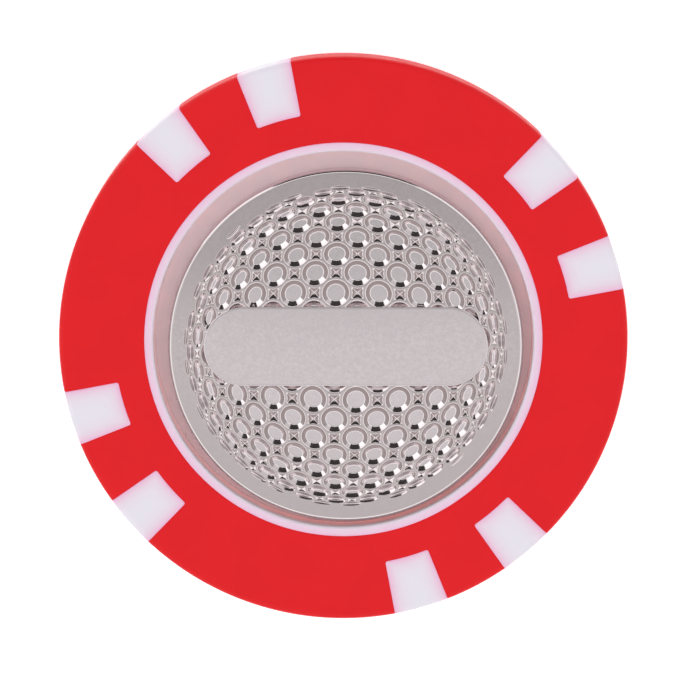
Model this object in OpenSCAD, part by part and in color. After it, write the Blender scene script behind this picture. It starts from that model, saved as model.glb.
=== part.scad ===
// Golf poker chip with a loose ball marker.
// A two-shot plastic chip: a white core with a recess and eight edge spots, and a red ring
// moulded round it. A disc magnet in the recess floor holds a struck metal marker whose face
// shows a golf ball, drawn as dimples wrapped on a sphere.
// Millimetres, +Z up. The origin is on the chip's axis, at the face it lies on.

/* [Chip] */
// Outside diameter of the chip. The recess and the marker follow it.
chip_d = 40; // [32:0.1:48]
// Width of the red ring, from the white rim to the edge
ring_w = 5.92; // [4.5:0.02:8]
// Plastic left between the magnet and the back of the chip
skin_t = 0.25; // [0.15:0.01:1]
// Radius of the rounded outer edges
edge_round = 0.4; // [0.1:0.05:1]

/* [Edge spots] */
// Number of pairs of white spots round the edge
spot_pairs = 4; // [2:1:6]
// Angle that one spot takes up, in degrees
spot_deg = 11.2; // [6:0.1:14]
// Angle between the middles of the two spots of a pair, in degrees
pair_deg = 24.4; // [16:0.1:30]
// Angle of the first pair's middle from +X, in degrees
first_pair_deg = 28.4; // [0:0.1:90]
// Width of the red band between the white rim and the spots
red_band_w = 2.02; // [1:0.02:3]

/* [Anchor spokes] */
// Thickness of the spokes that tie the spots to the core, inside the red ring
spoke_t = 1.2; // [0.6:0.05:1.8]
// Width of a spoke
spoke_w = 2; // [1:0.05:2.8]

/* [Recess] */
// Width of the white rim round the recess
rim_w = 0.72; // [0.5:0.02:1.2]
// Radius of the rounded lip of the recess
lip_round = 0.2; // [0.05:0.01:0.4]
// Depth of the shallow seat in the back, where a label can be stuck
label_depth = 0.2; // [0.1:0.01:0.5]

/* [Magnet] */
// Diameter of the disc magnet
magnet_d = 10; // [6:0.1:14]
// Thickness of the disc magnet
magnet_t = 1; // [0.6:0.05:2]
// Chamfer on the magnet's edges
magnet_chamfer = 0.1; // [0.05:0.01:0.2]
// Gap all round the magnet in its pocket
magnet_play = 0.05; // [0.02:0.01:0.2]
// How far the magnet's face lies below the recess floor
magnet_sink = 0.05; // [0:0.01:0.1]

/* [Marker] */
// Thickness of the marker
marker_t = 1.9; // [1.4:0.05:3]
// Bevel round the marker's face and back
marker_bevel = 0.2; // [0.1:0.01:0.4]
// Gap all round a centred marker in the recess
marker_play = 0.86; // [0.3:0.02:1.2]
// How far the marker's face lies below the chip's face
marker_sink = 0.1; // [0:0.02:0.5]

/* [Ball relief] */
// Width of the plain band between the ball and the marker's edge
band_w = 1.1; // [0.6:0.05:2]
// Angle between rows of dimples, measured at the ball's centre, in degrees
row_deg = 7.82; // [7.5:0.02:12]
// Angle that a dimple's mouth takes up, measured at the ball's centre, in degrees
dimple_deg = 9.1; // [5:0.02:9.5]
// Width of a dimple's sloping wall
wall_w = 0.34; // [0.1:0.01:0.4]
// Depth of a dimple
dimple_depth = 0.3; // [0.1:0.01:0.5]
// Depth of the pits between the dimples
pit_depth = 0.25; // [0.1:0.01:0.5]
// Angle that the flat lip between a dimple and a pit takes up, in degrees
lip_deg = 1.65; // [0.4:0.05:2.5]
// Turn of the rows about the marker's axis, in degrees
rows_deg = -0.75; // [-45:0.05:45]
// Gap between the ends of the blank plate and the ball's outline
plate_margin = 1.4; // [1:0.05:5]
// Height of the blank plate across the ball
plate_h = 5.6; // [3:0.1:8]

/* [Hidden] */
$fn = 96;

// How far a cut runs past the face that it opens
overrun = 0.1;
// Where the loose marker has come to rest, as shares of the gap round it, right and up
marker_rest_shares = [0.2, -0.5];
// Where the ball's middle falls between the dimples, as shares of the row distance
rows_shift_shares = [-0.52, 0.485];
// Dimples and pits nearer the ball's outline than these angles from its middle are left out
last_dimple_deg = 82;
last_pit_deg = 66;
// How far a pit's cusps reach towards the next pit, and how wide its bottom is, as shares
pit_reach_share = 0.47;
pit_bottom_share = 0.15;

chip_r = chip_d / 2;
hub_r = chip_r - ring_w;
recess_r = hub_r - rim_w;
marker_r = recess_r - marker_play;
spot_r = hub_r + red_band_w;
pocket_r = magnet_d / 2 + magnet_play;
recess_depth = marker_t + marker_sink;
magnet_z = label_depth + skin_t;
floor_z = magnet_z + magnet_t + magnet_sink;
chip_t = floor_z + recess_depth;
marker_rest = marker_play * marker_rest_shares;
ball_r = marker_r - band_w;
plate_len = 2 * (ball_r - plate_margin);
plate_span = plate_len - plate_h;
row_pitch = ball_arc(row_deg);
dimple_r = ball_arc(dimple_deg) / 2;
pit_side = row_pitch - dimple_r - ball_arc(lip_deg);
pit_cusp = row_pitch / sqrt(2) * pit_reach_share;
pair_step_deg = 360 / spot_pairs;
spoke_bite = rim_w / 2;

// Middle angles of all the edge spots
spot_angles = [
    for (pair = [0 : spot_pairs - 1], side = [-1, 1])
        first_pair_deg + pair * pair_step_deg + side * pair_deg / 2
];

// Length along the ball's surface for an angle at its centre, and the angle for a length
function ball_arc(angle) = ball_r * angle * PI / 180;
function ball_deg(arc) = arc / ball_r * 180 / PI;

// A flat vector turned about the origin
function turned(v, angle) = [
    v[0] * cos(angle) - v[1] * sin(angle),
    v[0] * sin(angle) + v[1] * cos(angle)
];

// Where a place on the ball is seen on the marker's face
function seen(arc) = ball_r * sin(ball_deg(norm(arc))) * arc / norm(arc);

// Distance from a place on the face to the outline of the blank plate, negative inside it
function plate_gap(place) = norm([max(abs(place[0]) - plate_span / 2, 0), place[1]]) - plate_h / 2;

// Rows and places in a row that the ball has room for, counted from its middle
row_count = ceil(ball_r * PI / 2 / row_pitch) + 1;

// Middles on the flattened ball, as [right, up] lengths along its surface. The rows are
// staggered: every second place in a row holds a dimple, and the places between hold pits.
function lattice(parity, last_deg) = [
    for (row = [-row_count : row_count], place = [-row_count : row_count])
        let (arc = turned(row_pitch * ([place, row] + rows_shift_shares), rows_deg))
        if (abs(row + place) % 2 == parity && ball_deg(norm(arc)) < last_deg) arc
];

// The middles that lie clear of the blank plate, and those that its outline passes close by
function clear_of_plate(arcs, reach) = [for (arc = arcs) if (plate_gap(seen(arc)) > reach) arc];
function across_plate(arcs, reach) = [for (arc = arcs) if (abs(plate_gap(seen(arc))) <= reach) arc];

dimple_arcs = lattice(0, last_dimple_deg);
pit_arcs = lattice(1, last_pit_deg);

// Outline of a pit round its middle: four cusps between the dimples, drawn in at the sides
function pit_outline(arc) = [
    for (corner = [0 : 7])
        let (reach = corner % 2 == 0 ? pit_side : pit_cusp)
        seen(arc + turned([reach, 0], rows_deg + 45 * corner)) - seen(arc)
];

// Half section of the chip's outer part, from a radius out to the rounded edge
module edge_section(inner_r) {
    translate([inner_r, 0]) square([chip_r - edge_round - inner_r, chip_t]);
    translate([inner_r, edge_round]) square([chip_r - inner_r, chip_t - 2 * edge_round]);
    for (z = [edge_round, chip_t - edge_round])
        translate([chip_r - edge_round, z]) circle(edge_round);
}

// Half section of the core's hub: recess with a rounded lip, magnet pocket and label seat
module hub_section() {
    difference() {
        square([hub_r, chip_t]);
        translate([0, floor_z]) square([recess_r, recess_depth + overrun]);
        translate([0, magnet_z]) square([pocket_r, magnet_t + magnet_sink + overrun]);
        translate([0, -overrun]) square([recess_r, label_depth + overrun]);
        difference() {
            translate([recess_r - overrun, chip_t - lip_round])
                square([lip_round + overrun, lip_round + overrun]);
            translate([recess_r + lip_round, chip_t - lip_round]) circle(lip_round);
        }
    }
}

// All the full-height edge spots
module edge_spots() {
    for (angle = spot_angles)
        rotate(angle - spot_deg / 2) rotate_extrude(angle = spot_deg) edge_section(spot_r);
}

// Spokes at half height that run from the hub's wall into the spots
module spokes() {
    inner = hub_r - spoke_bite;
    outer = spot_r + spoke_bite;
    for (angle = spot_angles)
        rotate(angle)
            translate([inner, -spoke_w / 2, (chip_t - spoke_t) / 2])
                cube([outer - inner, spoke_w, spoke_t]);
}

// First shot of the chip
module white_core() {
    color("#e5e0e8") {
        rotate_extrude() hub_section();
        edge_spots();
        spokes();
    }
}

// Second shot of the chip, which grips the spots and the spokes
module red_ring() {
    color("#e52b30")
        difference() {
            rotate_extrude() edge_section(hub_r);
            edge_spots();
            spokes();
        }
}

// Disc with the same chamfer on both edges
module bevelled_disc(radius, height, bevel) {
    rotate_extrude()
        polygon([
            [0, 0], [radius - bevel, 0], [radius, bevel],
            [radius, height - bevel], [radius - bevel, height], [0, height]
        ]);
}

// Disc magnet in the pocket under the marker
module magnet() {
    color("#8f9296")
        translate([0, 0, magnet_z]) bevelled_disc(magnet_d / 2, magnet_t, magnet_chamfer);
}

// Dimples cut down into the face. Each one is a cone frustum, squeezed as the eye sees a dimple
// on a sphere: by the cosine of its angle from the ball's middle in the direction away from that
// middle, and by the sine over the angle across it.
module dimples(arcs) {
    flare = wall_w / dimple_depth * overrun;
    for (arc = arcs) {
        angle = ball_deg(norm(arc));
        place = seen(arc);
        translate([place[0], place[1], -dimple_depth])
            rotate(atan2(arc[1], arc[0]))
                scale([cos(angle), ball_r * sin(angle) / norm(arc), 1])
                    cylinder(h = dimple_depth + overrun, r1 = dimple_r - wall_w, r2 = dimple_r + flare);
    }
}

// Pits cut down into the face between the dimples, narrowing to a small bottom
module pits(arcs) {
    for (arc = arcs) {
        place = seen(arc);
        translate([place[0], place[1], -pit_depth])
            linear_extrude(pit_depth, scale = 1 / pit_bottom_share)
                polygon(pit_bottom_share * pit_outline(arc));
    }
}

// Plain stadium-shaped plate that the dimples stop at
module plate() {
    translate([0, 0, -dimple_depth - overrun])
        linear_extrude(dimple_depth + 3 * overrun) {
            square([plate_span, plate_h], center = true);
            for (side = [-1, 1])
                translate([side * plate_span / 2, 0]) circle(plate_h / 2);
        }
}

// Struck metal ball marker, lying loose in the recess
module marker() {
    color("#c3bab9")
        translate([marker_rest[0], marker_rest[1], floor_z])
            difference() {
                bevelled_disc(marker_r, marker_t, marker_bevel);
                translate([0, 0, marker_t]) {
                    dimples(clear_of_plate(dimple_arcs, dimple_r));
                    pits(clear_of_plate(pit_arcs, pit_cusp));
                }
                translate([0, 0, marker_t])
                    difference() {
                        union() {
                            dimples(across_plate(dimple_arcs, dimple_r));
                            pits(across_plate(pit_arcs, pit_cusp));
                        }
                        plate();
                    }
            }
}

white_core();
red_ring();
magnet();
marker();
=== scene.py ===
"""Looks for a golf poker chip with a loose ball marker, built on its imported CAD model."""

import math

import bpy
import numpy as np
from bpy.props import FloatProperty, FloatVectorProperty, IntProperty, PointerProperty
from bpy.types import Operator, Panel, PropertyGroup
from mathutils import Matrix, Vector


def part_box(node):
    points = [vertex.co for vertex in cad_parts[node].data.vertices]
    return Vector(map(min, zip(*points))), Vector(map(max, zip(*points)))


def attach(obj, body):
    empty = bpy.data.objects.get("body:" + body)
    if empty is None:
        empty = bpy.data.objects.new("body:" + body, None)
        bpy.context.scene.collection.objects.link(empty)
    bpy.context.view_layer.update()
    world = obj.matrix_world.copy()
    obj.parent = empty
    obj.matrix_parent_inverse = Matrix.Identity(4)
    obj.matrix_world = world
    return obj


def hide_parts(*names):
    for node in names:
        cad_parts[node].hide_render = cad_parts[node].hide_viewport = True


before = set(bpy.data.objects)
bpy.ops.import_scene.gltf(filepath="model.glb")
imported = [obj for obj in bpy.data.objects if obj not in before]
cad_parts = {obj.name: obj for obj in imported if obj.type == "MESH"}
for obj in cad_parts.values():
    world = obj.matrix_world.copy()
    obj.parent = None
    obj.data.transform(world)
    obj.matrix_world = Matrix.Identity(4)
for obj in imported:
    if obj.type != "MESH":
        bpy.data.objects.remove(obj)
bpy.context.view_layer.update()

bl_info = {
    "name": "Golf poker chip",
    "version": (1, 0, 0),
    "blender": (4, 5, 0),
    "location": "3D View > Sidebar > Poker chip",
    "description": "Builds the surfaces, finishes and studio of a golf poker chip",
    "category": "Object",
}

MM = 0.001
CHIP_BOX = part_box("red_ring")
MARKER_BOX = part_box("marker")
MAGNET_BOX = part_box("magnet")

# Points closer than this are one point, and the offset keeps even places off the rounding's halves
WELD = 1e-7
WELD_OFFSET = 0.1234
# Edges sharper than these angles keep a hard shading edge, on the plastic and on the marker
PLASTIC_CREASE = math.radians(35)
MARKER_CREASE = math.radians(50)
# Middle point of a small rounded edge, as a share of its radius
BEND = 0.3
# Angle between columns round the red ring
COLUMN_ANGLE = 0.0087

# Painted light, as shares of red painted into the white: through the rim, what comes on top at the
# seam, and through the back
RIM_GLOW = 0.4
SEAM_GLOW = 0.5
SEAM_REACH = 0.18 * MM
BACK_GLOW = 0.25
# The recess takes on its painted light tint down to this depth, and between these distances from its
# wall
TINT_DEPTH = 0.6 * MM
TINT_START = 1.8 * MM
TINT_END = 1.3 * MM

# Past this angle from the ball's middle, places are no longer drawn together
LAND_ANGLE = math.radians(78)
# Dimples seen narrower than this half width get finer mouths, down to the least share
FULL_WIDTH = 0.98 * MM
LEAST_SHARE = 0.2
# Share of the hollows' painted light, a brighter plating colour standing in for reflection, that the
# plate has
PLATE_PAINTED_LIGHT = 0.85

# Azimuths at which the dome's panels meet, in degrees from +Y towards +X
FLAG_SIDE = 28
REAR_LEFT = -62
REAR_RIGHT = 56
FRONT_SIDE = 85
CARD_SIDES = (140, 220)
ALL_ROUND = (-180, 180)
# Elevations of the card's upper edge and of the hood's edge, in degrees
CARD_TOP = 79.9
HOOD_EDGE = 73
# Sizes of the two panels that hang in front of others, as shares of the dome's size
FLAG_SCALE = 0.95
HOOD_SCALE = 0.9
# Colours of the panels' light
WHITE_LIGHT = (1, 1, 1)
SIDE_LIGHT = (1, 0.96, 0.95)
FRONT_LIGHT = (1, 0.9, 0.87)
FLAG_LIGHT = (0.06, 0.056, 0.055)


def length(name, description, millimetres):
    """A length property, given in millimetres and kept in metres."""
    return FloatProperty(
        name=name, description=description, default=millimetres * MM, precision=6, unit="LENGTH"
    )


def angle(name, description, degrees):
    """An angle property, given in degrees and kept in radians."""
    return FloatProperty(
        name=name, description=description, default=math.radians(degrees), subtype="ANGLE"
    )


def amount(name, description, default):
    """A plain number property."""
    return FloatProperty(name=name, description=description, default=default, precision=4)


def colour(name, description, default):
    """A linear colour property."""
    return FloatVectorProperty(
        name=name, description=description, default=default, min=0.0, max=1.0, subtype="COLOR"
    )


class MouldingSizes(PropertyGroup):
    """Sizes of the two-colour moulding."""

    radius: length("Radius", "Outside radius of the chip", CHIP_BOX[1].x / MM)
    thickness: length("Thickness", "Thickness of the chip", CHIP_BOX[1].z / MM)
    edge_round: length("Edge round", "Radius of the rounded outer edges", 0.4)
    hub_radius: length("Hub radius", "Outside radius of the white rim", 13.99)
    recess_radius: length("Recess radius", "Radius of the recess for the marker", 13.36)
    lip_round: length("Lip round", "Radius of the rounded lip of the recess", 0.2)
    floor_height: length("Floor height", "Height of the recess floor", 1.5)
    floor_round: length("Floor round", "Fillet between the recess floor and its wall", 0.15)
    pocket_radius: length("Pocket radius", "Radius of the magnet's pocket", 5.05)
    pocket_height: length("Pocket height", "Height of the pocket's floor", 0.45)
    seat_depth: length("Seat depth", "Depth of the label seat in the back", 0.2)
    seam: length("Seam", "Rounding of each colour's edge where the two colours meet", 0.035)


class SpotSizes(PropertyGroup):
    """Sizes of the white edge spots and the spokes that hold them."""

    pairs: IntProperty(name="Pairs", description="Pairs of spots round the edge", default=4)
    width: angle("Width", "Angle that one spot takes up", 11.2)
    pair_angle: angle("Pair angle", "Angle between the two spots of a pair", 24.4)
    first_pair: angle("First pair", "Angle of the first pair's middle from +X", 28.4)
    inner_radius: length("Inner radius", "Radius of the spots' inner edges", 16.1)
    corner_round: length("Corner round", "Radius of the spots' inner corners", 0.17)
    # Reach of the painted pink, which stands in for red light, at a spot's edges
    glow_reach: length("Glow reach", "How far in from a spot's edge red shines through", 0.42)
    spoke_width: length("Spoke width", "Width of a hidden spoke", 2.0)
    spoke_thickness: length("Spoke thickness", "Thickness of a hidden spoke", 1.2)
    spoke_bite: length("Spoke bite", "How far a spoke runs into what it joins", 0.36)


class MarkerSizes(PropertyGroup):
    """Sizes of the struck marker and its ball relief."""

    edge_round: length("Edge round", "Radius of the edge of the face and the back", 0.28)
    ball_radius: length("Ball radius", "Radius of the ball drawn on the face", 11.4)
    row_angle: angle("Row angle", "Angle between rows of dimples", 7.82)
    dimple_angle: angle("Dimple angle", "Angle that a dimple's mouth takes up", 9.8)
    lip_angle: angle("Lip angle", "Angle of the flat lip between a dimple and a pit", 1.05)
    last_angle: angle("Last angle", "Dimples further than this from the middle are left out", 83.0)
    turn: angle("Turn", "Turn of the rows about the marker's axis", -0.75)
    shift_right: amount("Shift right", "Shift of the rows, in row distances", -0.495)
    shift_up: amount("Shift up", "Shift of the rows, in row distances", 0.5)
    wall_width: length("Wall width", "Width of a dimple's sloping wall", 0.31)
    wall_spread: length("Wall spread", "Extra width of the wall towards +Y and -Y", 0.04)
    depth: length("Depth", "Depth of a dimple", 0.3)
    mouth_round: length("Mouth round", "Radius of a dimple's rounded mouth", 0.16)
    floor_round: length("Floor round", "Radius of the fillet round a dimple's floor", 0.08)
    groove_floor: length("Groove floor", "Half width of the floor of a narrow dimple", 0.02)
    pit_slope: amount("Pit slope", "Fall of a pit's sides per length", 0.8)
    plate_length: length("Plate length", "Length of the blank plate", 20.0)
    plate_height: length("Plate height", "Height of the blank plate", 5.6)
    plate_rise: length("Plate rise", "How far the plate stands above the lips", 0.02)
    plate_root: length("Plate root", "How far the plate's wall goes down", 0.6)


class Finishes(PropertyGroup):
    """Colours of the plastic and the metal."""

    red: colour("Red", "Moulded red", (0.725, 0.006, 0.011))
    red_shade: colour("Red shade", "Darker cloud in the red", (0.69, 0.005, 0.01))
    white: colour("White", "Moulded white", (0.755, 0.73, 0.80))
    # Painted light: the pink painted where red light would shine through the white
    white_glow: colour("White glow", "White where red shines through it", (0.805, 0.415, 0.615))
    # Painted light: the recess's white, tinted as if lit through the plastic round it
    recess: colour("Recess", "White that is lit through the plastic round it", (0.85, 0.725, 0.745))
    # Painted glow: emission on the recess wall, for light that would come through it
    wall_light: colour("Wall light", "Light that comes through the recess wall", (0.36, 0.095, 0.085))
    nickel: colour("Nickel", "Plating of the marker", (0.59, 0.525, 0.53))
    # Painted light: the plating's colour in the hollows, painted brighter than on the lips
    nickel_hollow: colour("Nickel hollow", "Brighter plating in the hollows", (0.70, 0.64, 0.655))
    magnet: colour("Magnet", "Plating of the magnet", (0.52, 0.51, 0.50))
    floor: colour("Floor", "Pale studio floor", (0.9, 0.9, 0.9))


class StudioSettings(PropertyGroup):
    """Camera and light."""

    distance: length("Distance", "Camera distance from the chip's face", 300.0)
    tilt: angle("Tilt", "Camera tilt from straight above, towards +Y", 8.8)
    focal_length: amount("Focal length", "Lens in millimetres on a 36 mm sensor", 226.1)
    shift_x: amount("Shift right", "Camera shift, in frame widths", -0.0049)
    shift_y: amount("Shift up", "Camera shift, in frame widths", 0.0012)
    surround: amount("Surround", "Brightness of the white surround", 0.98)
    horizon: amount("Horizon", "Elevation up to which the low panels reach, in degrees", 27)
    ring_top: amount("Ring top", "Elevation up to which the light ring reaches, in degrees", 58)
    ring_glow: amount("Ring glow", "Brightness of the light ring", 1.5)
    flag_top: amount("Flag top", "Elevation up to which the black rear flag reaches, in degrees", 45)
    left_glow: amount("Left glow", "Brightness of the low panel at the rear left", 1.7)
    right_glow: amount("Right glow", "Brightness of the low panel at the rear right", 0.85)
    side_glow: amount("Side glow", "Brightness of the low panels at the two sides", 0.5)
    skirt_glow: amount("Skirt glow", "Brightness of the low panel at the front", 0.5)
    card_glow: amount("Card glow", "Brightness of the high panel at the front", 0.8)
    hood_glow: amount("Hood glow", "Brightness of the panel round the camera", 0.6)
    floor_glow: amount("Floor glow", "Own light of the pale floor", 0.6)


class PokerChip(PropertyGroup):
    """All the settings of the chip."""

    moulding: PointerProperty(type=MouldingSizes)
    spots: PointerProperty(type=SpotSizes)
    marker: PointerProperty(type=MarkerSizes)
    finishes: PointerProperty(type=Finishes)
    studio: PointerProperty(type=StudioSettings)


def grid_quads(rows, columns, wrap_rows, wrap_columns):
    """Corner numbers of the quads of a grid whose points are numbered row by row."""
    row, column = np.meshgrid(
        np.arange(rows if wrap_rows else rows - 1),
        np.arange(columns if wrap_columns else columns - 1),
        indexing="ij",
    )
    next_row = (row + 1) % rows
    next_column = (column + 1) % columns
    corners = [
        row * columns + column,
        next_row * columns + column,
        next_row * columns + next_column,
        row * columns + next_column,
    ]
    return np.stack(corners, -1).reshape(-1, 4)


def many_grids(points, wrap_rows, wrap_columns):
    """Flat points and quads of a stack of grids, shaped (grids, rows, columns, 3)."""
    grids, rows, columns, _ = points.shape
    one = grid_quads(rows, columns, wrap_rows, wrap_columns)
    starts = np.arange(grids) * rows * columns
    return points.reshape(-1, 3), (one[None] + starts[:, None, None]).reshape(-1, 4)


def welded(points, quads, values):
    """Merges the points that lie in one place, found by their rounded coordinates."""
    keys = np.round(points / WELD + WELD_OFFSET).astype(np.int64)
    _, first, owner = np.unique(keys, axis=0, return_index=True, return_inverse=True)
    return points[first], owner.reshape(-1)[quads], values[first]


def corners_kept(quads):
    """Which corners of each quad stay, once corners that fell together are dropped."""
    keep = quads != np.roll(quads, -1, axis=1)
    folded = (quads[:, 0] == quads[:, 2]) | (quads[:, 1] == quads[:, 3])
    keep[folded | (keep.sum(1) < 3)] = False
    return keep


def outward(points, quads):
    """The quads of a closed shell, turned round if they enclose a negative volume.

    The volume is the sum over triangles of a . (b x c) / 6, so only its sign is used.
    """
    a, b, c, d = points[quads].transpose(1, 0, 2)
    volume = (a * (np.cross(b, c) + np.cross(c, d))).sum()
    return quads if volume > 0 else quads[:, ::-1]


def shell(points, quads, values):
    """A closed shell with its faces outwards: (points, quads, a value for each point)."""
    return points, outward(points, quads), values


def joined(shells):
    """Several shells as one."""
    counts = np.cumsum([0] + [len(points) for points, _, _ in shells])
    return (
        np.concatenate([points for points, _, _ in shells]),
        np.concatenate([quads + start for (_, quads, _), start in zip(shells, counts)]),
        np.concatenate([values for _, _, values in shells]),
    )


def make_mesh(name, points, quads, values, attribute):
    """A mesh from arrays, with doubles merged, collapsed corners dropped and one point attribute."""
    points, quads, values = welded(points, quads, values)
    keep = corners_kept(quads)
    corners = quads[keep]
    totals = keep.sum(1)
    totals = totals[totals > 0]
    mesh = bpy.data.meshes.new(name)
    mesh.vertices.add(len(points))
    mesh.vertices.foreach_set("co", points.astype(np.float32).ravel())
    mesh.loops.add(len(corners))
    mesh.loops.foreach_set("vertex_index", corners.astype(np.int32))
    mesh.polygons.add(len(totals))
    mesh.polygons.foreach_set("loop_start", (np.cumsum(totals) - totals).astype(np.int32))
    mesh.update(calc_edges=True)
    mesh.attributes.new(attribute, "FLOAT", "POINT").data.foreach_set(
        "value", values.astype(np.float32)
    )
    if mesh.validate(verbose=True):
        raise ValueError(f"the mesh of {name} had faulty faces")
    return mesh


def add_object(name, mesh):
    """A new object at the origin."""
    piece = bpy.data.objects.new(name, mesh)
    bpy.context.scene.collection.objects.link(piece)
    return piece


def combine(piece, tool_mesh, operation):
    """Joins a closed tool mesh to a piece, or cuts it out, and keeps the result as its mesh."""
    tool = add_object("tool", tool_mesh)
    modifier = piece.modifiers.new("Combine", "BOOLEAN")
    modifier.object = tool
    modifier.operation = operation
    modifier.solver = "MANIFOLD"
    graph = bpy.context.evaluated_depsgraph_get()
    made = bpy.data.meshes.new_from_object(piece.evaluated_get(graph))
    if not made.polygons:
        raise ValueError(f"nothing is left of {piece.name}")
    piece.modifiers.clear()
    plain = piece.data
    piece.data = made
    made.name = plain.name
    bpy.data.meshes.remove(plain)
    bpy.data.objects.remove(tool)
    bpy.data.meshes.remove(tool_mesh)


def finish_piece(piece, crease, material, body, node):
    """Shading, material and the piece's ties to the CAD frame."""
    piece.data.shade_smooth()
    piece.data.set_sharp_from_angle(angle=crease)
    piece.data.materials.clear()
    piece.data.materials.append(material)
    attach(piece, body)
    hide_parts(node)


def around(turn, radius, height):
    """Points at angles about +Z, radii and heights, whose shapes are matched to each other."""
    turn, radius, height = np.broadcast_arrays(turn, radius, height)
    return np.stack([radius * np.cos(turn), radius * np.sin(turn), height], -1)


def turned_profile(profile, segments):
    """A profile of (radius, height) rows turned about +Z.

    Point (k, j) lies at angle 2 pi k / segments, at row j's radius and height.
    """
    turn = np.linspace(0, 2 * np.pi, segments, endpoint=False)[:, None]
    points = around(turn, *profile.T).reshape(-1, 3)
    return points, grid_quads(segments, len(profile), True, False)


def arc(centre, radius, start, stop, steps):
    """Rows (x, y) along an arc about a centre, between two angles in degrees."""
    turn = np.radians(np.linspace(start, stop, steps))
    return np.stack([centre[0] + radius * np.cos(turn), centre[1] + radius * np.sin(turn)], -1)


def edge_fall(distance, radius):
    """How far a rounded edge lies below its face, at a distance from the edge's side."""
    inside = np.clip(radius - distance, 0, radius)
    return radius - np.sqrt(radius**2 - inside**2)


def spot_middles(spots):
    """Middle angles of the spots, in order round the chip."""
    pairs = spots.first_pair + np.arange(spots.pairs) * 2 * np.pi / spots.pairs
    sides = np.array([-0.5, 0.5]) * spots.pair_angle
    return np.sort((pairs[:, None] + sides).ravel() % (2 * np.pi))


def spot_columns(spots, seam):
    """Columns across one spot: angle from its middle, and distance from its nearer side.

    They lie closer together where the side and the inner corner bend.
    """
    half = spots.width / 2
    reach = spots.inner_radius * half
    near = np.array([0, BEND * seam, seam, 0.06 * MM, 0.1 * MM, spots.corner_round])
    far = np.linspace(spots.corner_round, reach, 9)[1:]
    distance = np.concatenate([near, far])
    distance = np.concatenate([distance, distance[-2::-1]])
    side = np.concatenate([-np.ones(len(near) + len(far)), np.ones(len(near) + len(far) - 1)])
    return side * (reach - distance) / spots.inner_radius, distance


def spot_edge(spots, distance):
    """Radius of a spot's inner edge: it rises in a quarter circle into the spot's sides."""
    return spots.inner_radius + edge_fall(distance, spots.corner_round)


def outer_edge(moulding, fall, inner, first, steps):
    """Rows of the chip's face from an inner radius out over the rounded edge to half height.

    The face is sunk by fall, and so is the rounded edge, along its own normal. The last row of the
    flat lies a margin inside the edge.
    """
    margin = 0.08 * MM
    flat_end = moulding.radius - moulding.edge_round
    middle = moulding.thickness - moulding.edge_round
    share = np.concatenate([first, np.linspace(0, 1, steps)[1:]])
    radius = inner + share * (flat_end - margin - inner)
    turn = np.radians(np.linspace(0, 90, 8))
    bend = moulding.edge_round - fall
    return (
        np.concatenate([radius, flat_end + bend * np.sin(turn), moulding.radius - fall], axis=1),
        np.concatenate(
            [
                moulding.thickness - fall + np.zeros_like(radius),
                middle + bend * np.cos(turn),
                moulding.thickness / 2 + np.zeros_like(fall),
            ],
            axis=1,
        ),
    )


def both_faces(radius, height, thickness):
    """A closed section from its upper half, which runs from half height to half height."""
    return (
        np.concatenate([radius, radius[:, -2:0:-1]], axis=1),
        np.concatenate([height, thickness - height[:, -2:0:-1]], axis=1),
    )


def red_columns(moulding, spots):
    """Columns round the red ring: angle, whether a spot is there, and distance from its side."""
    across, depth = spot_columns(spots, moulding.seam)
    middles = spot_middles(spots)
    half = spots.width / 2
    mean_radius = (spots.inner_radius + moulding.radius) / 2
    near = np.array([0, BEND, 1, 3]) * moulding.seam / mean_radius
    angles, in_spot, distance = [], [], []
    for middle, following in zip(middles, np.append(middles[1:], middles[0] + 2 * np.pi)):
        start = middle + half
        gap = following - half - start
        inner = np.linspace(near[-1], gap - near[-1], int(gap / COLUMN_ANGLE))
        offset = np.concatenate([near[:-1], inner, gap - near[-2::-1]])
        angles += [middle + across, start + offset]
        in_spot += [np.ones(len(across), bool), np.zeros(len(offset), bool)]
        distance += [depth, np.minimum(offset, gap - offset) * mean_radius]
    return np.concatenate(angles), np.concatenate(in_spot), np.concatenate(distance)


def red_shell(moulding, spots):
    """The red ring as one closed section carried round the axis.

    Between the spots the section reaches the chip's edge. At a spot its outer part is drawn in to
    the spot's inner edge, and the step between the two makes the spot's side.
    """
    turn, in_spot, distance = red_columns(moulding, spots)
    seam = moulding.seam
    top = moulding.thickness
    columns = len(turn)
    level = np.ones((columns, 1))
    rise = spot_edge(spots, np.where(in_spot, distance, 0))[:, None]
    fall = np.where(in_spot, 0, edge_fall(distance, seam))[:, None]
    inner_end = rise - seam
    inner_steps = np.array([0.15, 0.6, 1.1]) * MM
    inner_radius = np.concatenate(
        [
            level * [moulding.hub_radius, moulding.hub_radius],
            level * (moulding.hub_radius + np.array([BEND, 1]) * seam),
            level * (moulding.hub_radius + inner_steps),
            inner_end - inner_steps[0],
            inner_end,
        ],
        axis=1,
    )
    inner_height = level * [top / 2, top - seam, top - BEND * seam, top, top, top, top, top, top]
    open_radius, open_height = outer_edge(moulding, fall, rise, np.array([0, 0.04]), 6)
    closed_height = top - seam - np.linspace(0, 1, open_radius.shape[1]) * (top / 2 - seam)
    outer_radius = np.where(in_spot[:, None], rise, open_radius)
    outer_height = np.where(in_spot[:, None], closed_height, open_height)
    corner_fall = BEND * np.where(in_spot[:, None], seam, fall)
    radius = np.concatenate([inner_radius, rise - BEND * seam, outer_radius], axis=1)
    height = np.concatenate([inner_height, top - corner_fall, outer_height], axis=1)
    radius, height = both_faces(radius, height, top)
    points = around(turn[:, None], radius, height).reshape(-1, 3)
    quads = grid_quads(columns, radius.shape[1], True, True)
    return shell(points, quads, np.zeros(len(points)))


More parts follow.
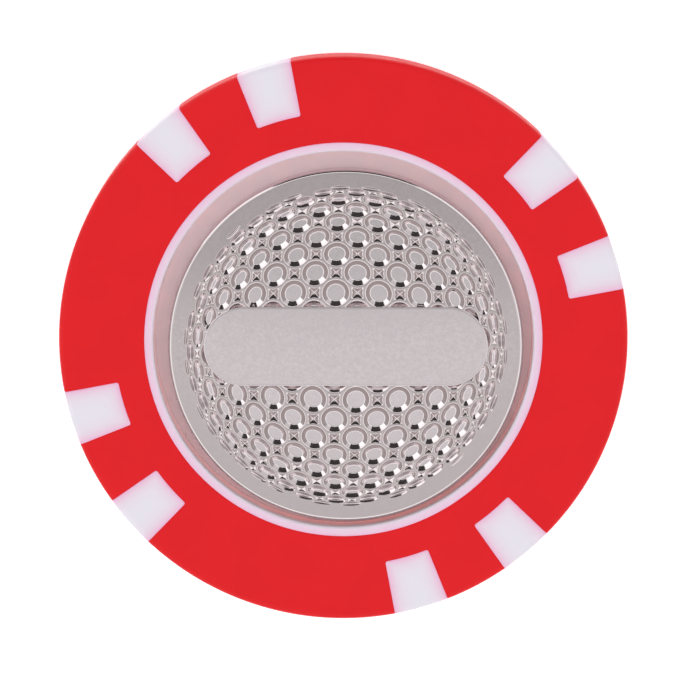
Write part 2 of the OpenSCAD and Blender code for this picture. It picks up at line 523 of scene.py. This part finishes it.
def spot_shell(moulding, spots):
    """All the white spots, each a closed section carried across the spot's angle.

    The columns at the two sides are drawn together at half height, which closes the ends. The
    value is painted light: the share of red painted on where it would shine through, which falls
    off away from the spot's edges.
    """
    across, distance = spot_columns(spots, moulding.seam)
    across = np.concatenate([across[:1], across, across[-1:]])
    distance = np.concatenate([distance[:1], distance, distance[-1:]])
    seam = moulding.seam
    top = moulding.thickness
    rise = spot_edge(spots, distance)[:, None]
    fall = edge_fall(distance, seam)[:, None]
    face_radius, face_height = outer_edge(
        moulding, fall, rise + seam, np.array([0, 0.02, 0.05, 0.09, 0.14]), 7
    )
    radius = np.concatenate([rise, rise, rise + BEND * seam, face_radius], axis=1)
    height = np.concatenate(
        [
            np.full_like(rise, top / 2),
            np.full_like(rise, top - seam),
            top - np.maximum(BEND * seam, fall),
            face_height,
        ],
        axis=1,
    )
    inset = np.minimum(radius - rise, distance[:, None] * radius / spots.inner_radius)
    glow = np.exp(-inset / spots.glow_reach)
    radius, height = both_faces(radius, height, top)
    glow, _ = both_faces(glow, glow, 0)
    height[[0, -1]] = top / 2
    turn = spot_middles(spots)[:, None, None] + across[None, :, None]
    points = around(turn, radius, height)
    values = np.broadcast_to(glow, points.shape[:3]).reshape(-1)
    points, quads = many_grids(points, False, True)
    return shell(points, quads, values)


def hub_profile(moulding):
    """Rows (radius, height) of the hub, from the pocket's middle over the rim to the back."""
    top = moulding.thickness
    recess = moulding.recess_radius
    hub = moulding.hub_radius
    floor = moulding.floor_height
    pocket = moulding.pocket_radius
    seat = moulding.seat_depth
    seam = moulding.seam
    soft = 0.05 * MM
    lip = moulding.lip_round
    fillet = moulding.floor_round
    return np.concatenate(
        [
            [[0, moulding.pocket_height], [pocket - 2 * soft, moulding.pocket_height]],
            arc((pocket - soft, moulding.pocket_height + soft), soft, -90, 0, 3),
            arc((pocket + soft, floor - soft), soft, 180, 90, 4),
            [[pocket + 3 * soft, floor], [recess - TINT_START, floor]],
            [[recess - TINT_END, floor], [recess - fillet - soft, floor]],
            arc((recess - fillet, floor + fillet), fillet, -90, 0, 6),
            [[recess, top - lip - soft]],
            arc((recess + lip, top - lip), lip, 180, 90, 8),
            [[recess + lip + soft, top], [(recess + lip + hub) / 2, top], [hub - 3 * seam, top]],
            [[hub - seam, top], [hub - BEND * seam, top - BEND * seam], [hub, top - seam]],
            [[hub, seam], [hub - BEND * seam, BEND * seam], [hub - seam, 0], [hub - 3 * seam, 0]],
            [[recess + 2 * soft, 0]],
            arc((recess + soft, soft), soft, 270, 180, 4),
            [[recess, seat - soft], [recess, seat], [recess - soft, seat], [0, seat]],
        ]
    )


def hub_shell(moulding):
    """The hub turned about the axis.

    The value is painted light: the share of red painted on where it would shine through. From 0 to
    -1 it is the share of a painted tint for light that reaches the recess through the plastic, and
    from -1 to -2 the wall also gets a painted glow of that light.
    """
    profile = hub_profile(moulding)
    radius, height = profile.T
    segments = 384
    points, quads = turned_profile(profile, segments)
    rim = RIM_GLOW + SEAM_GLOW * np.exp((radius - moulding.hub_radius) / SEAM_REACH)
    sunk = np.clip((moulding.thickness - height) / TINT_DEPTH, 0, 1)
    near_wall = np.interp(moulding.recess_radius - radius, [TINT_END, TINT_START], [1, 0])
    on_wall = radius > moulding.recess_radius - 0.1 * moulding.floor_round
    inner = RIM_GLOW - (RIM_GLOW + near_wall + on_wall) * sunk
    front = np.where(radius > moulding.recess_radius + moulding.lip_round, rim, inner)
    glow = np.where(height < moulding.floor_height / 2, BACK_GLOW, front)
    return shell(points, quads, np.tile(glow, segments))


def spoke_shell(moulding, spots):
    """The hidden spokes: a rectangle carried from the hub into each spot, closed at its ends."""
    start = moulding.hub_radius - spots.spoke_bite
    stop = spots.inner_radius + spots.spoke_bite
    radius = np.array([start, start, stop, stop])[None, :, None]
    spread = np.array([0, 1, 1, 0])[None, :, None]
    aside = spread * spots.spoke_width * np.array([-0.5, 0.5, 0.5, -0.5])
    lift = spread * spots.spoke_thickness * np.array([-0.5, -0.5, 0.5, 0.5])
    lift = lift + moulding.thickness / 2
    turn = spot_middles(spots)[:, None, None]
    across = radius * np.cos(turn) - aside * np.sin(turn)
    along = radius * np.sin(turn) + aside * np.cos(turn)
    points = np.stack([across, along, np.broadcast_to(lift, across.shape)], -1)
    points, quads = many_grids(points, False, True)
    return shell(points, quads, np.zeros(len(points)))


def dimple_sites(sizes):
    """Middles of the dimples on the flattened ball, and which of their four corners hold a pit.

    The places form a square lattice. Every second place holds a dimple, and a place between them
    holds a pit where all of its four neighbours are dimples.
    """
    reach = int(np.pi / 2 / sizes.row_angle) + 3
    count = np.arange(-reach, reach + 1)
    row, place = np.meshgrid(count, count, indexing="ij")
    right = (place + sizes.shift_right) * sizes.row_angle
    up = (row + sizes.shift_up) * sizes.row_angle
    cos, sin = math.cos(sizes.turn), math.sin(sizes.turn)
    flat = np.stack([right * cos - up * sin, right * sin + up * cos], -1)
    used = ((row + place) % 2 == 0) & (np.hypot(flat[..., 0], flat[..., 1]) < sizes.last_angle)
    pits = (row + place) % 2 == 1
    for axis, step in ((0, 1), (0, -1), (1, 1), (1, -1)):
        pits = pits & np.roll(used, step, axis)
    steps = ((1, -1), (0, -1), (1, 1), (0, 1))
    corners = [np.roll(pits, step, axis)[used] for axis, step in steps]
    return flat[used], np.stack(corners, -1)


def seen(sizes, flat):
    """Where places on the flattened ball are seen on the face.

    That is at the ball's radius times the sine of their angle from the middle. Past the last rows
    it goes on at the slope that it has there, so that the land round them keeps its width.
    """
    reach = np.linalg.norm(flat, axis=-1, keepdims=True)
    bend = np.minimum(reach, LAND_ANGLE)
    return sizes.ball_radius * (np.sin(bend) + (reach - bend) * np.cos(bend)) * flat / reach


def dimple_height(sizes, inset, share):
    """Height of a dimple's surface at a distance in from its mouth.

    An arc leads from the flat into a steady slope, and a smaller arc from there into the floor.
    The share scales the first arc, for dimples that are seen narrow.
    """
    slope = math.atan2(sizes.depth, sizes.wall_width)
    mouth_in, mouth_height = mouth_arc(sizes)
    foot = np.linspace(slope, 0, 4)
    foot_end = sizes.wall_width + sizes.floor_round * math.tan(slope / 2)
    foot_in = foot_end - sizes.floor_round * np.sin(foot)
    foot_height = sizes.floor_round * (1 - np.cos(foot)) - sizes.depth
    upper = share * np.interp(inset / share, mouth_in, mouth_height)
    lower = np.where(
        inset < foot_in[0], -inset * math.tan(slope), np.interp(inset, foot_in, foot_height)
    )
    return np.where(inset < share * mouth_in[-1], upper, lower)


def mouth_arc(sizes):
    """A dimple's rounded mouth as distances in from the mouth, and heights."""
    slope = math.atan2(sizes.depth, sizes.wall_width)
    turn = np.linspace(0, slope, 4)
    start = -sizes.mouth_round * math.tan(slope / 2)
    return start + sizes.mouth_round * np.sin(turn), sizes.mouth_round * (np.cos(turn) - 1)


def wall_rings(sizes, share, to_axis):
    """Distances in from a dimple's mouth at which its rings lie.

    They stop short of the long axis, so that a narrow dimple keeps a small floor.
    """
    mouth_in, _ = mouth_arc(sizes)
    slope = math.atan2(sizes.depth, sizes.wall_width)
    reach = sizes.floor_round * math.tan(slope / 2)
    foot_in = sizes.wall_width + reach * np.array([-math.cos(slope), 0, 1, 1.8])[:, None, None]
    mouth_in = share * np.concatenate([[1.4 * mouth_in[0]], mouth_in])[:, None, None]
    spacing = np.array([2.2, 1.7, 1.3, 1])[:, None, None]
    groove = to_axis - spacing * np.minimum(sizes.groove_floor, 0.2 * to_axis)
    return np.concatenate([np.minimum(mouth_in, groove[0]), np.minimum(foot_in, groove)])


def relief_grids(sizes):
    """The ball relief as one grid of rings for each dimple, shaped (dimples, rings, directions, 3).

    A dimple's mouth is the ellipse that a small circle on the ball is seen as. Its rings lie at set
    distances in from the mouth along the ellipse's normals, which meet on its long axis, so narrow
    dimples become grooves. Outside the mouth the grid runs flat to the square cell round the
    dimple, and falls at a steady slope into the pit at each of the cell's corners.
    """
    flat, pit_on = dimple_sites(sizes)
    half_row = sizes.row_angle / math.sqrt(2)
    mouth = sizes.dimple_angle / 2
    pit_edge = mouth + sizes.lip_angle
    cusp = math.pi / 4 - math.acos(half_row / pit_edge)
    eighth = np.concatenate([[0, cusp / 2], np.linspace(cusp, np.pi / 4, 4)])
    quarter = np.concatenate([eighth, np.pi / 2 - eighth[-2:0:-1]])
    turn = (np.arange(4)[:, None] * np.pi / 2 + quarter).ravel()
    corner = np.round(turn / (np.pi / 2)).astype(int) % 4
    heading = turn + sizes.turn

    reach = np.linalg.norm(flat, axis=1)
    outwards = (flat / reach[:, None])[:, None, :]
    across = np.stack([-outwards[..., 1], outwards[..., 0]], -1)
    ball = sizes.ball_radius
    middle = ball * (np.sin(reach) * math.cos(mouth))[:, None, None] * outwards
    short = (ball * np.cos(reach) * math.sin(mouth))[:, None]
    long = (ball * np.sin(reach) / reach * mouth)[:, None]

    def outline(local):
        """Places on the mouth's ellipse, its normals, and their distance to the long axis."""
        cos, sin = np.cos(local), np.sin(local)
        stretch = np.hypot(long * cos, short * sin)
        place = middle + (short * cos)[..., None] * outwards + (long * sin)[..., None] * across
        normal = (long * cos)[..., None] * outwards + (short * sin)[..., None] * across
        return place, normal / stretch[..., None], short * stretch / long

    step = 2 * np.pi / len(turn)
    first = heading[0] - np.arctan2(flat[:, 1], flat[:, 0])
    even = (np.round(first / step)[:, None] + np.arange(len(turn))) * step
    place, normal, to_axis = outline(even)
    share = np.clip(short / FULL_WIDTH, LEAST_SHARE, 1)
    inset = wall_rings(sizes, share, to_axis)
    heights = dimple_height(sizes, inset, share)
    spread = sizes.wall_spread * share * normal[..., 1] ** 2
    inset = inset - spread * np.clip(1 - inset / sizes.wall_width, 0, 1.5)
    inset = np.concatenate([inset, to_axis[None]])
    heights = np.concatenate([heights, heights[-1:]])
    wall = place - inset[..., None] * normal

    cell_reach = half_row / np.cos(turn % (np.pi / 2) - np.pi / 4)
    direction = np.stack([np.cos(heading), np.sin(heading)], -1)
    cell_flat = flat[:, None] + cell_reach[:, None] * direction
    cell = seen(sizes, cell_flat)
    narrow = np.clip(np.cos(np.linalg.norm(cell_flat, axis=-1)), 0, 1)
    pit_reach = np.maximum(cell_reach - pit_edge, 0)
    fall = sizes.pit_slope * ball * pit_reach * narrow * pit_on[:, corner]
    lip_share = np.clip((pit_edge - mouth) / (cell_reach - mouth), 0, 1)[:, None]
    rim, _, _ = outline(heading - np.arctan2(flat[:, 1], flat[:, 0])[:, None])
    lip = rim + lip_share * (cell - rim)
    # Rings from a pit's middle to its edge, as shares of the way and of the fall
    pit_steps = np.array([1, 0.94, 0.86, 0.2, 0.1, 0])
    pit_falls = np.array([0.94, 0.924, 0.84, 0.154, 0.05, 0])
    pit = lip + pit_steps[:, None, None, None] * (cell - lip)

    places = np.concatenate([pit, wall])
    depths = np.concatenate([-pit_falls[:, None, None] * fall, heights])
    return np.concatenate([places, depths[..., None]], -1).transpose(1, 0, 2, 3)


def rim_loop(points, quads):
    """Corner points of an open surface's rim, in order of their angle about the axis.

    A rim edge is one that no other face runs along the other way.
    """
    quads = quads[corners_kept(quads).any(1)]
    start = quads.ravel()
    stop = np.roll(quads, -1, axis=1).ravel()
    real = start != stop
    start, stop = start[real].astype(np.int64), stop[real].astype(np.int64)
    single = ~np.isin(start * len(points) + stop, stop * len(points) + start)
    rim = points[np.unique(start[single])]
    return rim[np.argsort(np.arctan2(rim[:, 1], rim[:, 0]))]


def blank_profile(sizes, radius, thickness):
    """Rows (radius, height above the face) of the blank, from the plain band to the back."""
    bend = sizes.edge_round
    margin = 0.06 * MM
    land = 0.42 * MM
    start = np.array([[radius - bend - margin, 0]])
    edge = np.concatenate([start, arc((radius - bend, -bend), bend, 90, 0, 9)])
    back = edge[::-1] * [1, -1] - [0, thickness]
    plain = [[sizes.ball_radius + land, 0]]
    return np.concatenate([plain, edge, back, [[0, -thickness]]])


def marker_shell(sizes, radius, thickness):
    """The relief, with the blank's band, edge and back carried on from the relief's rim."""
    points, quads = many_grids(relief_grids(sizes), False, True)
    points, quads, _ = welded(points, quads, np.zeros(len(points)))
    rim = rim_loop(points, quads)
    turn = np.arctan2(rim[:, 1], rim[:, 0])[:, None]
    blank = around(turn, *blank_profile(sizes, radius, thickness).T)
    blank = np.concatenate([rim[:, None], blank], axis=1)
    blank_quads = grid_quads(len(rim), blank.shape[1], True, False) + len(points)
    points = np.concatenate([points, blank.reshape(-1, 3)])
    # The depth share paints the hollows brighter: painted light, not a change in the plating
    hollow = np.clip(-points[:, 2] / sizes.depth, 0, 1)
    return shell(points, np.concatenate([quads, blank_quads]), hollow)


def plate_shell(sizes):
    """The blank plate: a stadium outline with a rounded top edge, drawn in to its long axis."""
    half = sizes.plate_height / 2
    span = sizes.plate_length / 2 - half
    segments = 192
    turn = np.linspace(0, 2 * np.pi, segments, endpoint=False) + np.pi / segments
    heading = np.stack([np.cos(turn), np.sin(turn)], -1)
    axis = np.stack([np.where(heading[:, 0] > 0, span, -span), np.zeros(len(turn))], -1)
    soft = 0.05 * MM
    top = sizes.plate_rise
    edge = arc((half - soft, top - soft), soft, 90, 0, 5)
    root = [[half, -sizes.plate_root], [0, -sizes.plate_root]]
    profile = np.concatenate([[[0, top], [half - 3 * soft, top]], edge, root])
    places = axis[:, None] + profile[:, 0][None, :, None] * heading[:, None]
    points = np.concatenate(
        [places, np.broadcast_to(profile[:, 1][None, :, None], places.shape[:2] + (1,))], -1
    )
    points = points.reshape(-1, 3)
    quads = grid_quads(segments, len(profile), True, False)
    return shell(points, quads, np.full(len(points), PLATE_PAINTED_LIGHT))


def magnet_profile(box):
    """Rows (radius, height) of the disc magnet, with softened chamfers."""
    radius = (box[1].x - box[0].x) / 2
    low, high = box[0].z, box[1].z
    cut = 0.1 * MM
    soft = 0.03 * MM
    face = np.array(
        [
            [0, high],
            [radius - cut - 2 * soft, high],
            [radius - cut - soft, high],
            [radius - cut + 0.4 * soft, high - 0.6 * soft],
            [radius - 0.6 * soft, high - cut + 0.4 * soft],
            [radius, high - cut - soft],
        ]
    )
    back = face[::-1] * [1, -1] + [0, low + high]
    return np.concatenate([face, back])


class NodeSheet:
    """Short ways to place and link the nodes of one material."""

    def __init__(self, name):
        self.material = bpy.data.materials.new(name)
        self.material.use_nodes = True
        self.tree = self.material.node_tree
        self.shader = self.tree.nodes["Principled BSDF"]
        self.object_coordinates = self.add("ShaderNodeTexCoord").outputs["Object"]

    def add(self, kind, **settings):
        node = self.tree.nodes.new(kind)
        for key, value in settings.items():
            setattr(node, key, value)
        return node

    def link(self, output, socket):
        self.tree.links.new(output, socket)

    def feed(self, name, output):
        """Links an output to one of the shader's inputs."""
        self.link(output, self.shader.inputs[name])

    def hold(self, name, value):
        """Sets one of the shader's inputs to a fixed value."""
        self.shader.inputs[name].default_value = value

    def noise(self, size, detail):
        """Noise whose clouds are about the given size across."""
        node = self.add("ShaderNodeTexNoise")
        self.link(self.object_coordinates, node.inputs["Vector"])
        node.inputs["Scale"].default_value = 1 / size
        node.inputs["Detail"].default_value = detail
        return node.outputs["Fac"]

    def range(self, value, low, high, start=0.3, stop=0.7):
        """A value between two limits, taken from the middle part of a noise."""
        node = self.add("ShaderNodeMapRange")
        self.link(value, node.inputs["Value"])
        node.inputs["From Min"].default_value = start
        node.inputs["From Max"].default_value = stop
        node.inputs["To Min"].default_value = low
        node.inputs["To Max"].default_value = high
        return node.outputs["Result"]

    def mix(self, factor, first, second):
        """A mix of two colours. A colour is an output or three numbers."""
        node = self.add("ShaderNodeMix", data_type="RGBA")
        self.link(factor, node.inputs["Factor"])
        for socket, value in ((node.inputs["A"], first), (node.inputs["B"], second)):
            if isinstance(value, bpy.types.NodeSocket):
                self.link(value, socket)
            else:
                socket.default_value = (*value, 1)
        return node.outputs["Result"]

    def bump(self, value, depth, strength, under=None):
        """Bump of a given depth, on top of another bump if one is given."""
        node = self.add("ShaderNodeBump")
        self.link(value, node.inputs["Height"])
        node.inputs["Distance"].default_value = depth
        node.inputs["Strength"].default_value = strength
        if under is not None:
            self.link(under, node.inputs["Normal"])
        return node.outputs["Normal"]

    def attribute(self, name):
        return self.add("ShaderNodeAttribute", attribute_name=name).outputs["Fac"]


def red_plastic(finishes):
    """Satin red ABS: faint colour clouds, uneven gloss and the grain of the mould."""
    sheet = NodeSheet("red_plastic")
    cloud = sheet.range(sheet.noise(3 * MM, detail=3), 0, 1)
    sheet.feed("Base Color", sheet.mix(cloud, finishes.red, finishes.red_shade))
    sheet.feed("Roughness", sheet.range(sheet.noise(0.5 * MM, detail=2), 0.42, 0.52))
    grain = sheet.bump(sheet.noise(0.12 * MM, detail=2), 0.004 * MM, 0.35)
    sheet.feed("Normal", sheet.bump(sheet.noise(2.5 * MM, detail=1), 0.02 * MM, 0.2, grain))
    sheet.hold("Specular IOR Level", 0.22)
    return sheet.material


def white_plastic(finishes):
    """Slightly clear white ABS, with painted light: pink from the red behind it, and the recess lit
    through.
    """
    sheet = NodeSheet("white_plastic")
    cloud = sheet.range(sheet.noise(1.2 * MM, detail=3), 0.9, 1.1)
    glow = sheet.add("ShaderNodeMath", operation="MULTIPLY")
    sheet.link(sheet.attribute("red_glow"), glow.inputs[0])
    sheet.link(cloud, glow.inputs[1])
    tinted = sheet.mix(glow.outputs["Value"], finishes.white, finishes.white_glow)
    # Painted light: where the share is below 0, the recess tint stands in for light through the
    # plastic
    sheltered = sheet.range(glow.outputs["Value"], 0, 1, 0, -1)
    sheet.feed("Base Color", sheet.mix(sheltered, tinted, finishes.recess))
    # Painted glow: emission on the recess wall, where the share is below -1
    sheet.hold("Emission Color", (*finishes.wall_light, 1))
    sheet.feed("Emission Strength", sheet.range(glow.outputs["Value"], 0, 1, -1, -2))
    sheet.feed("Roughness", sheet.range(sheet.noise(0.5 * MM, detail=2), 0.36, 0.46))
    sheet.feed("Normal", sheet.bump(sheet.noise(0.12 * MM, detail=2), 0.004 * MM, 0.3))
    sheet.hold("Specular IOR Level", 0.3)
    return sheet.material


def marker_nickel(finishes):
    """Bright nickel plating with a fine frost, and painted light: the hollows are painted brighter
    than the lips.
    """
    sheet = NodeSheet("marker_nickel")
    hollow = sheet.attribute("hollow")
    cloud = sheet.range(sheet.noise(0.6 * MM, detail=3), 0, 0.12)
    # Painted light: the deeper the surface, the brighter its base colour, plus a random cloud
    painted_hollow_light = sheet.add("ShaderNodeMath", operation="MULTIPLY_ADD", use_clamp=True)
    sheet.link(hollow, painted_hollow_light.inputs[0])
    painted_hollow_light.inputs[1].default_value = 0.9
    sheet.link(cloud, painted_hollow_light.inputs[2])
    plating = sheet.mix(painted_hollow_light.outputs["Value"], finishes.nickel, finishes.nickel_hollow)
    sheet.feed("Base Color", plating)
    sheet.feed("Roughness", sheet.range(sheet.noise(0.25 * MM, detail=3), 0.08, 0.14))
    sheet.feed("Normal", sheet.bump(sheet.noise(0.12 * MM, detail=3), 0.001 * MM, 0.3))
    sheet.hold("Metallic", 1.0)
    return sheet.material


def magnet_plating(finishes):
    """Dull nickel on a sintered magnet, with grains and small dents."""
    sheet = NodeSheet("magnet_plating")
    cloud = sheet.range(sheet.noise(0.8 * MM, detail=4), 0.8, 1.0)
    dark = tuple(0.7 * part for part in finishes.magnet)
    sheet.feed("Base Color", sheet.mix(cloud, dark, finishes.magnet))
    sheet.feed("Roughness", sheet.range(sheet.noise(0.4 * MM, detail=3), 0.3, 0.45))
    sheet.feed("Normal", sheet.bump(sheet.noise(0.15 * MM, detail=3), 0.006 * MM, 0.4))
    sheet.hold("Metallic", 1.0)
    return sheet.material


class MakeRedRing(Operator):
    """Make the red ring, with room for the spots and the spokes"""

    bl_idname = "poker_chip.make_red_ring"
    bl_label = "Red ring"

    def execute(self, context):
        chip = context.scene.poker_chip
        mesh = make_mesh("red_moulding", *red_shell(chip.moulding, chip.spots), "red_glow")
        piece = add_object("red_moulding", mesh)
        spokes = make_mesh("spokes", *spoke_shell(chip.moulding, chip.spots), "red_glow")
        combine(piece, spokes, "DIFFERENCE")
        finish_piece(
            piece, PLASTIC_CREASE, red_plastic(chip.finishes), "chip", "red_ring"
        )
        return {"FINISHED"}


class MakeWhiteCore(Operator):
    """Make the white hub with its recess, the edge spots and their spokes"""

    bl_idname = "poker_chip.make_white_core"
    bl_label = "White core"

    def execute(self, context):
        chip = context.scene.poker_chip
        parts = joined([hub_shell(chip.moulding), spot_shell(chip.moulding, chip.spots)])
        piece = add_object("white_moulding", make_mesh("white_moulding", *parts, "red_glow"))
        spokes = make_mesh("spokes", *spoke_shell(chip.moulding, chip.spots), "red_glow")
        combine(piece, spokes, "UNION")
        finish_piece(
            piece, PLASTIC_CREASE, white_plastic(chip.finishes), "chip", "white_core"
        )
        return {"FINISHED"}


class MakeMagnet(Operator):
    """Make the disc magnet in the recess floor"""

    bl_idname = "poker_chip.make_magnet"
    bl_label = "Magnet"

    def execute(self, context):
        chip = context.scene.poker_chip
        points, quads = turned_profile(magnet_profile(MAGNET_BOX), 192)
        parts = shell(points, quads, np.zeros(len(points)))
        piece = add_object("magnet_disc", make_mesh("magnet_disc", *parts, "hollow"))
        finish_piece(
            piece, PLASTIC_CREASE, magnet_plating(chip.finishes), "chip", "magnet"
        )
        return {"FINISHED"}


class MakeMarker(Operator):
    """Make the struck ball marker with its dimples, pits and blank plate"""

    bl_idname = "poker_chip.make_marker"
    bl_label = "Ball marker"

    def execute(self, context):
        chip = context.scene.poker_chip
        low, high = MARKER_BOX
        place = np.array([(low.x + high.x) / 2, (low.y + high.y) / 2, high.z])
        points, quads, hollow = marker_shell(chip.marker, (high.x - low.x) / 2, high.z - low.z)
        mesh = make_mesh("ball_marker_disc", points + place, quads, hollow, "hollow")
        piece = add_object("ball_marker_disc", mesh)
        points, quads, values = plate_shell(chip.marker)
        plate = make_mesh("plate", points + place, quads, values, "hollow")
        combine(piece, plate, "UNION")
        finish_piece(
            piece, MARKER_CREASE, marker_nickel(chip.finishes), "ball_marker", "marker"
        )
        return {"FINISHED"}


def add_stage(name, points, quads, material):
    """A stage piece from a grid of points."""
    mesh = bpy.data.meshes.new(name)
    mesh.from_pydata(points.reshape(-1, 3).tolist(), [], quads.tolist())
    mesh.materials.append(material)
    piece = add_object(name, mesh)
    return piece


def stage_finish(name, paint, tint, glow):
    """A matt stage finish in a paint colour, with light of its own in a tint."""
    sheet = NodeSheet(name)
    sheet.hold("Base Color", (*paint, 1))
    sheet.hold("Roughness", 0.9)
    sheet.hold("Specular IOR Level", 0.0)
    sheet.hold("Emission Color", (*tint, 1))
    sheet.hold("Emission Strength", glow)
    return sheet.material


def dome_panel(name, azimuths, elevations, tint, glow):
    """A lit panel of the studio's dome, which is a sphere of 1 m about the chip.

    Point (j, k) lies at azimuth j, counted in degrees from +Y towards +X, and at elevation k.
    """
    turn = np.radians(np.linspace(*azimuths, 37))[:, None]
    lift = np.radians(np.linspace(*elevations, 9))
    across = np.sin(turn) * np.cos(lift)
    along = np.cos(turn) * np.cos(lift)
    points = np.stack([across, along, np.broadcast_to(np.sin(lift), across.shape)], -1)
    quads = grid_quads(*across.shape, False, False)
    panel = add_stage(name, points, quads, stage_finish(name, (0, 0, 0), tint, glow))
    panel.visible_camera = False
    return panel


class SetStage(Operator):
    """Set the pale floor, the white surround, the light panels and the camera"""

    bl_idname = "poker_chip.set_stage"
    bl_label = "Studio"

    def execute(self, context):
        scene = context.scene
        studio = scene.poker_chip.studio
        pale = scene.poker_chip.finishes.floor
        floor = stage_finish("floor", pale, pale, studio.floor_glow)
        reach = 3
        drop = 0.02 * MM
        corners = np.array([[-1, -1], [1, -1], [1, 1], [-1, 1]]) * reach
        square = np.insert(corners.astype(float), 2, -drop, axis=1)
        add_stage("floor", square, np.array([[0, 1, 2, 3]]), floor)
        low = (0, studio.horizon)
        middle = (studio.horizon, studio.ring_top)
        high = (studio.ring_top, CARD_TOP)
        front = (FRONT_SIDE, 360 - FRONT_SIDE)
        dome_panel("light_ring", ALL_ROUND, middle, WHITE_LIGHT, studio.ring_glow)
        dome_panel("rear_left", (REAR_LEFT, -FLAG_SIDE), low, WHITE_LIGHT, studio.left_glow)
        dome_panel("rear_right", (FLAG_SIDE, REAR_RIGHT), low, WHITE_LIGHT, studio.right_glow)
        dome_panel("side_left", (-FRONT_SIDE, REAR_LEFT), low, SIDE_LIGHT, studio.side_glow)
        dome_panel("side_right", (REAR_RIGHT, FRONT_SIDE), low, SIDE_LIGHT, studio.side_glow)
        dome_panel("front_skirt", front, low, FRONT_LIGHT, studio.skirt_glow)
        dome_panel("front_card", CARD_SIDES, high, WHITE_LIGHT, studio.card_glow)
        rear = (-FLAG_SIDE, FLAG_SIDE)
        flag = dome_panel("rear_flag", rear, (0, studio.flag_top), FLAG_LIGHT, 1)
        flag.scale = (FLAG_SCALE, FLAG_SCALE, FLAG_SCALE)
        hood = dome_panel("camera_hood", ALL_ROUND, (HOOD_EDGE, 90), WHITE_LIGHT, studio.hood_glow)
        hood.rotation_euler = (-studio.tilt, 0, 0)
        hood.scale = (HOOD_SCALE, HOOD_SCALE, HOOD_SCALE)

        world = bpy.data.worlds.new("surround")
        world.use_nodes = True
        background = world.node_tree.nodes["Background"]
        background.inputs["Color"].default_value = (1, 1, 1, 1)
        background.inputs["Strength"].default_value = studio.surround
        scene.world = world

        data = bpy.data.cameras.new("camera")
        data.sensor_width = 36
        data.lens = studio.focal_length
        data.shift_x = studio.shift_x
        data.shift_y = studio.shift_y
        data.clip_start = 0.01
        camera = add_object("camera", data)
        camera.location = (
            0,
            studio.distance * math.sin(studio.tilt),
            CHIP_BOX[1].z + studio.distance * math.cos(studio.tilt),
        )
        camera.rotation_euler = (-studio.tilt, 0, 0)
        scene.camera = camera
        scene.view_settings.view_transform = "Standard"
        return {"FINISHED"}


class POKER_CHIP_PT_sidebar(Panel):
    """Lists the steps that build the chip"""

    bl_label = "Poker chip"
    bl_space_type = "VIEW_3D"
    bl_region_type = "UI"
    bl_category = "Poker chip"

    def draw(self, context):
        for step in STEPS:
            self.layout.operator(step.bl_idname)


STEPS = (MakeRedRing, MakeWhiteCore, MakeMagnet, MakeMarker, SetStage)
GROUPS = (MouldingSizes, SpotSizes, MarkerSizes, Finishes, StudioSettings, PokerChip)
CLASSES = (*GROUPS, *STEPS, POKER_CHIP_PT_sidebar)


def register():
    for made in CLASSES:
        bpy.utils.register_class(made)
    bpy.types.Scene.poker_chip = PointerProperty(type=PokerChip)


def unregister():
    del bpy.types.Scene.poker_chip
    for made in reversed(CLASSES):
        bpy.utils.unregister_class(made)


def main():
    """Builds everything in order."""
    register()
    bpy.ops.poker_chip.make_red_ring()
    bpy.ops.poker_chip.make_white_core()
    bpy.ops.poker_chip.make_magnet()
    bpy.ops.poker_chip.make_marker()
    bpy.ops.poker_chip.set_stage()


if __name__ == "__main__":
    main()
